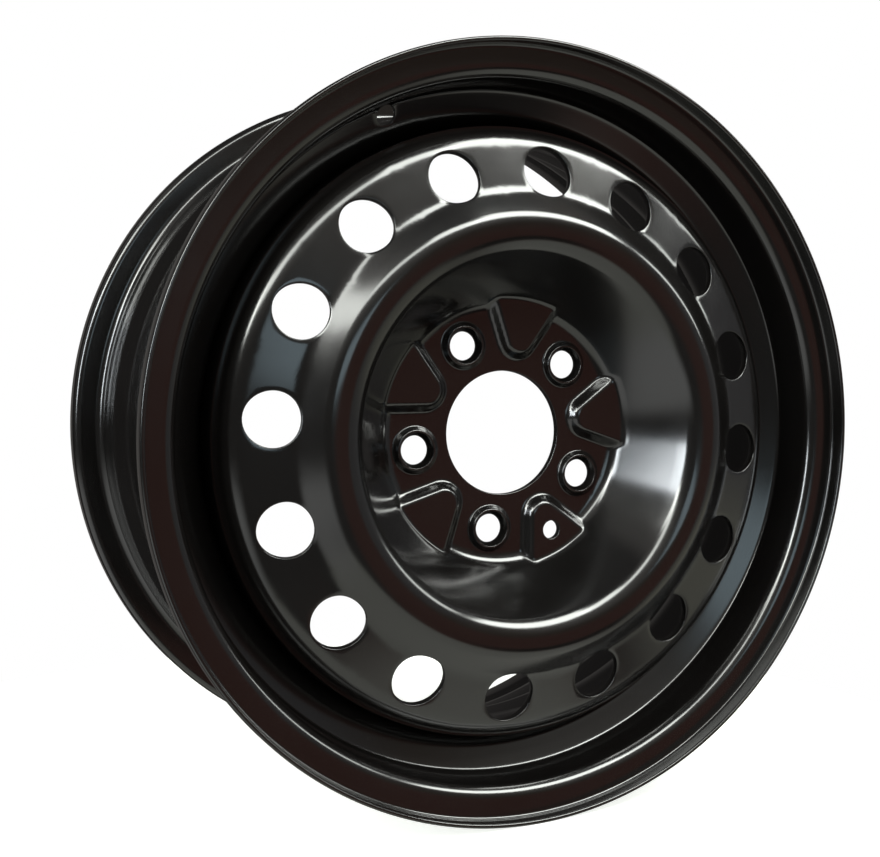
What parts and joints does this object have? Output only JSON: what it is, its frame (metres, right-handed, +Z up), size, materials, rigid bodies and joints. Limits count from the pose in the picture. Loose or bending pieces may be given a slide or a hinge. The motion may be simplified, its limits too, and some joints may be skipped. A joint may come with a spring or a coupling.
{
  "type": "steel wheel rim",
  "caption": "Pressed steel car wheel rim: a rolled drop-centre hoop with a deep-bowled disc welded in, ringed with round vent holes, gloss black.",
  "frame": {"origin": "on the wheel axis, in the plane of the hub contact face", "axes": "+Y along the wheel axis towards the vehicle, outboard side towards -Y, +Z up, +X to the right seen from outside"},
  "size_m": [0.4401, 0.2032, 0.4402],
  "materials": {
    "black_paint": "gloss"
  },
  "bodies": {
    "root": {"rim": "black_paint", "disc": "black_paint", "weld_beads": "black_paint"}
  },
  "joints": []
}
